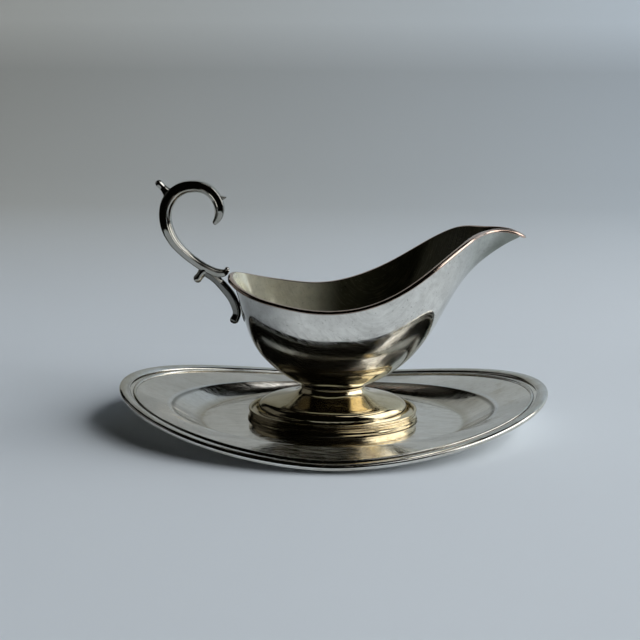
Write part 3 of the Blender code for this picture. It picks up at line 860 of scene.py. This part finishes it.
scroll = cast_piece("scroll", scroll_rings(SCROLL, 190, SCROLL_SECTION, SCROLL_FACING, True))
spurs = [cast_piece(name, scroll_rings(knots, rows, SPUR_SECTION, SPUR_FACING, False))
         for name, knots, rows in (("spur_thumb", THUMB_SPUR, 34), ("spur_heel", HEEL_SPUR, 30),
                                   ("spur_barb", BARB, 26))]
spurs.append(ball("knob", KNOB_CENTRE, KNOB_RADIUS, KNOB_WIDENING))
settle(join_solids(scroll, spurs), handle_metal, "boat", "handle", "handle_scroll")
bracket = cast_piece("bracket", scroll_rings(BRACKET, 90, SCROLL_SECTION, BRACKET_FACING, True))
settle(bracket, bracket_shaded_metal, "boat", "handle", "handle_bracket")
SEAT_SHEET = 1.05 * MM
SEAT_STANDOFF = 0.05 * MM
SEAT_SHARE = 0.99           # share of the CAD seat's height and width that it fills


def make_seat():
    """Thin solder seat that follows the bowl's back."""
    half = len(KEEL_LINE) // 2
    back = KEEL_LINE[half:]

    def surface(height, side):
        place = np.interp(height, back[:, 2], np.arange(len(back)))
        along = (half + place) / (len(KEEL_LINE) - 1)
        reach = line_at(RIM_LINE, along)[1]
        turn = math.asin(min(0.95, abs(side) / reach)) / (math.pi / 2.0)
        return bowl_point(along, math.copysign(turn, side)) - np.array([SEAT_STANDOFF, 0.0, 0.0])

    lo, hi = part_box("handle_seat")
    middle = (lo[2] + hi[2]) / 2.0
    tall = (hi[2] - lo[2]) / 2.0 * SEAT_SHARE
    wide = (hi[1] - lo[1]) / 2.0 * SEAT_SHARE
    rings = [[surface(middle, 0.0)]]
    for size in np.linspace(0.15, 1.0, 8):
        rings.append([surface(middle + tall * size * math.sin(a), wide * size * math.cos(a))
                      for a in angles(48)])
    mesh = bmesh.new()
    skin(mesh, rings)
    piece = finish_mesh(mesh, "solder_seat")
    if piece.data.polygons[0].normal.x > 0:
        piece.data.flip_normals()
    solid = piece.modifiers.new("sheet", "SOLIDIFY")
    solid.thickness = SEAT_SHEET
    solid.offset = 1.0
    return piece


settle(make_seat(), handle_metal, "boat", "handle", "handle_seat")

# ---------------------------------------------------------------- stage
FLOOR_TINT = (0.71, 0.755, 0.80)
# The wall's warm left and cool right tints and its dimming with height are painted light, not the
# paper's own colour.
WALL_LEFT = (0.62, 0.62, 0.58)
WALL_RIGHT = (0.62, 0.69, 0.76)
WALL_PAINTED_FALLOFF = [(0.0, 0.94), (0.14, 0.79), (0.32, 0.72), (0.42, 1.0), (1.0, 1.0)]
PAPER_FRONT = -2.2
PAPER_LEFT = -2.2
TABLE_FRONT = -0.36
TABLE_BACK = 0.15
TABLE_LEFT = -0.25
WALL_LEFT_EDGE = -0.62
TABLE_RIGHT = 2.2
WALL_CURVE = 0.8             # radius of the paper's bend from table to wall
WALL_TOP = 1.5
WALL_STEPS = 32


def paper_material():
    """Pale paper, cool and even on the table; up the wall it is painted dimmer with height and warmer
    to the left, standing in for the fall of the light.
    """
    material, tree, shader = new_material("paper")
    coords = node(tree, "ShaderNodeTexCoord").outputs["Object"]
    split = node(tree, "ShaderNodeSeparateXYZ")
    tree.links.new(coords, split.inputs["Vector"])
    height = node(tree, "ShaderNodeMapRange", {"From Min": 0.0, "From Max": 0.6})
    tree.links.new(split.outputs["Z"], height.inputs["Value"])
    side = node(tree, "ShaderNodeMapRange", {"From Min": -0.5, "From Max": 0.5})
    tree.links.new(split.outputs["X"], side.inputs["Value"])
    wall = ramp(tree, side.outputs["Result"], [(0.0, WALL_LEFT), (1.0, WALL_RIGHT)])
    wall = mix_colour(tree, 1.0, wall, ramp(tree, height.outputs["Result"], WALL_PAINTED_FALLOFF), "MULTIPLY")
    rise = ramp(tree, height.outputs["Result"], [(0.0, 0.0), (0.10, 1.0)])
    cloud = ramp(tree, noise(tree, coords, 2.2, 2.0, 0.5), [(0.3, 0.96), (0.7, 1.0)])
    colour = mix_colour(tree, rise, FLOOR_TINT, wall)
    colour = mix_colour(tree, 1.0, colour, cloud, "MULTIPLY")
    tree.links.new(colour, shader.inputs["Base Color"])
    shader.inputs["Roughness"].default_value = 0.9
    shader.inputs["Specular IOR Level"].default_value = 0.1
    return material


def strip(name, profile, x_from, x_to, reflected):
    """A paper strip drawn out along X from a (y, z) profile."""
    mesh = bmesh.new()
    rings = [[(x, y, z) for x in (x_from, x_to)] for y, z in profile]
    skin(mesh, rings, closed_rings=False)
    piece = finish_mesh(mesh, name, 60.0)
    piece.data.materials.append(paper)
    piece.visible_glossy = reflected


def wall_profile():
    """The paper curves up into a wall far behind."""
    profile = [(TABLE_BACK, 0.0)]
    for step in range(1, WALL_STEPS + 1):
        angle = math.radians(90.0 * step / WALL_STEPS)
        profile.append((TABLE_BACK + WALL_CURVE * math.sin(angle),
                        WALL_CURVE * (1.0 - math.cos(angle))))
    profile.append((TABLE_BACK + WALL_CURVE, WALL_TOP))
    return profile


paper = paper_material()
strip("paper_table", [(TABLE_FRONT, 0.0), (TABLE_BACK, 0.0)], TABLE_LEFT, TABLE_RIGHT, True)
strip("paper_wall", wall_profile(), WALL_LEFT_EDGE, TABLE_RIGHT, True)
strip("paper_left", [(TABLE_FRONT, 0.0), (TABLE_BACK, 0.0)], PAPER_LEFT, TABLE_LEFT, False)
strip("paper_wall_left", wall_profile(), PAPER_LEFT, WALL_LEFT_EDGE, False)
strip("paper_front", [(PAPER_FRONT, 0.0), (TABLE_FRONT, 0.0)], PAPER_LEFT, TABLE_RIGHT, False)


def area_light(name, place, aim, width, height, power, colour):
    """A soft light from a rectangle that faces the aim."""
    light = bpy.data.lights.new(name, "AREA")
    light.shape = "RECTANGLE"
    light.size = width
    light.size_y = height
    light.energy = power
    light.color = colour
    made = bpy.data.objects.new(name, light)
    made.location = place
    made.rotation_euler = (Vector(aim) - Vector(place)).to_track_quat("-Z", "Y").to_euler()
    bpy.context.scene.collection.objects.link(made)
    return made


WINDOW_PLACE = (3.3, -0.29, 2.2)
WINDOW_AIM = (0.0, 0.0, 0.05)
WINDOW_SIZE = (4.1, 3.0)
WINDOW_POWER = 215.0
DAYLIGHT = (0.95, 0.98, 1.0)
GLOW_PLACE = (3.3, -0.75, 1.9)
GLOW_SIZE = (4.8, 3.8)
GLOW_STRENGTH = 2.6
FILL_PLACE = (-3.4, 0.3, 1.5)
FILL_SIZE = (4.0, 2.4)
FILL_STRENGTH = 0.15
SKY_PLACE = (0.85, -0.65, 2.82)
SKY_SIZE = (1.5, 0.9)
SKY_STRENGTH = 1.4
ROOM_DARK = (0.002, 0.002, 0.0014, 1.0)
RING_PROFILE = [(2.15, -0.02), (2.25, 0.3), (2.3, 1.0), (2.3, 2.6)]
window = area_light("window", WINDOW_PLACE, WINDOW_AIM, *WINDOW_SIZE, WINDOW_POWER,
                    DAYLIGHT)
window.visible_glossy = False


def glow_material(name, size, strength):
    """A window as the silver sees it: brightest in the middle, fading out at its edges."""
    material = bpy.data.materials.new(name)
    material.use_nodes = True
    tree = material.node_tree
    tree.nodes.clear()
    coords = node(tree, "ShaderNodeTexCoord").outputs["Object"]
    split = node(tree, "ShaderNodeSeparateXYZ")
    tree.links.new(coords, split.inputs["Vector"])
    fade = None
    for axis, reach in zip("XY", size):
        away = maths(tree, "ABSOLUTE", split.outputs[axis], 0.0)
        part = blend(tree, away, reach / 2.0, reach / 2.5)
        fade = part if fade is None else maths(tree, "MULTIPLY", fade, part)
    cloud = ramp(tree, noise(tree, coords, 1.1, 2.0, 0.5), [(0.35, 0.75), (0.65, 1.0)])
    light = node(tree, "ShaderNodeEmission", {"Strength": strength})
    glow = mix_colour(tree, 1.0, ramp(tree, fade, [(0.0, 0.0), (1.0, (0.96, 0.98, 1.0))]), cloud,
                      "MULTIPLY")
    tree.links.new(glow, light.inputs["Color"])
    out = node(tree, "ShaderNodeOutputMaterial")
    tree.links.new(light.outputs["Emission"], out.inputs["Surface"])
    return material


def only_seen_by(piece, *rays):
    """Leave a stage piece visible to the named kinds of ray alone."""
    for ray in ("camera", "glossy", "diffuse", "transmission", "shadow", "volume_scatter"):
        setattr(piece, "visible_" + ray, ray in rays)


def glow_panel(name, place, size, strength):
    """A panel that is seen only in reflections."""
    mesh = bmesh.new()
    corners = [mesh.verts.new((x * size[0] / 2.0, y * size[1] / 2.0, 0.0))
               for x, y in ((-1, -1), (1, -1), (1, 1), (-1, 1))]
    mesh.faces.new(corners)
    panel = finish_mesh(mesh, name)
    panel.data.materials.append(glow_material(name, size, strength))
    panel.location = place
    panel.rotation_euler = (Vector(WINDOW_AIM) - Vector(place)).to_track_quat("-Z", "Y").to_euler()
    only_seen_by(panel, "glossy")


glow_panel("window_glow", GLOW_PLACE, GLOW_SIZE, GLOW_STRENGTH)
glow_panel("sky_glow", SKY_PLACE, SKY_SIZE, SKY_STRENGTH)
glow_panel("fill_glow", FILL_PLACE, FILL_SIZE, FILL_STRENGTH)

world = bpy.data.worlds.new("room")
bpy.context.scene.world = world
world.use_nodes = True
world.node_tree.nodes["Background"].inputs["Color"].default_value = ROOM_DARK
world.node_tree.nodes["Background"].inputs["Strength"].default_value = 1.0


def room_ring():
    """A pale surround that only the camera sees, behind the paper on every side."""
    material = bpy.data.materials.new("surround")
    material.use_nodes = True
    tree = material.node_tree
    tree.nodes.clear()
    coords = node(tree, "ShaderNodeTexCoord").outputs["Object"]
    cloud = noise(tree, coords, 1.2, 2.0, 0.5)
    light = node(tree, "ShaderNodeEmission", {"Strength": 1.0})
    tree.links.new(ramp(tree, cloud, [(0.3, (0.30, 0.33, 0.35)), (0.7, (0.34, 0.37, 0.40))]),
                   light.inputs["Color"])
    out = node(tree, "ShaderNodeOutputMaterial")
    tree.links.new(light.outputs["Emission"], out.inputs["Surface"])
    mesh = bmesh.new()
    skin(mesh, [[(r * math.cos(a), r * math.sin(a), z) for a in angles(64)]
                for r, z in RING_PROFILE])
    ring = finish_mesh(mesh, "surround")
    ring.data.materials.append(material)
    only_seen_by(ring, "camera")


room_ring()

# ---------------------------------------------------------------- camera
SENSOR_WIDTH = 36.0
FOCAL_LENGTH = 54.0
CAMERA_PLACE = (0.0034, -0.4969, 0.1784)
CAMERA_FORWARD = (-0.0207, 0.9707, -0.2394)
CAMERA_RIGHT = (0.9997, 0.023, 0.0069)

lens = bpy.data.cameras.new("camera")
lens.sensor_width = SENSOR_WIDTH
lens.lens = FOCAL_LENGTH
camera = bpy.data.objects.new("camera", lens)
bpy.context.scene.collection.objects.link(camera)
forward = Vector(CAMERA_FORWARD).normalized()
right = Vector(CAMERA_RIGHT)
right = (right - forward * right.dot(forward)).normalized()
up = right.cross(forward)
place = Vector(CAMERA_PLACE)
camera.matrix_world = Matrix(((right.x, up.x, -forward.x, place.x),
                              (right.y, up.y, -forward.y, place.y),
                              (right.z, up.z, -forward.z, place.z),
                              (0.0, 0.0, 0.0, 1.0)))
bpy.context.scene.camera = camera
bpy.context.scene.view_settings.view_transform = "Standard"
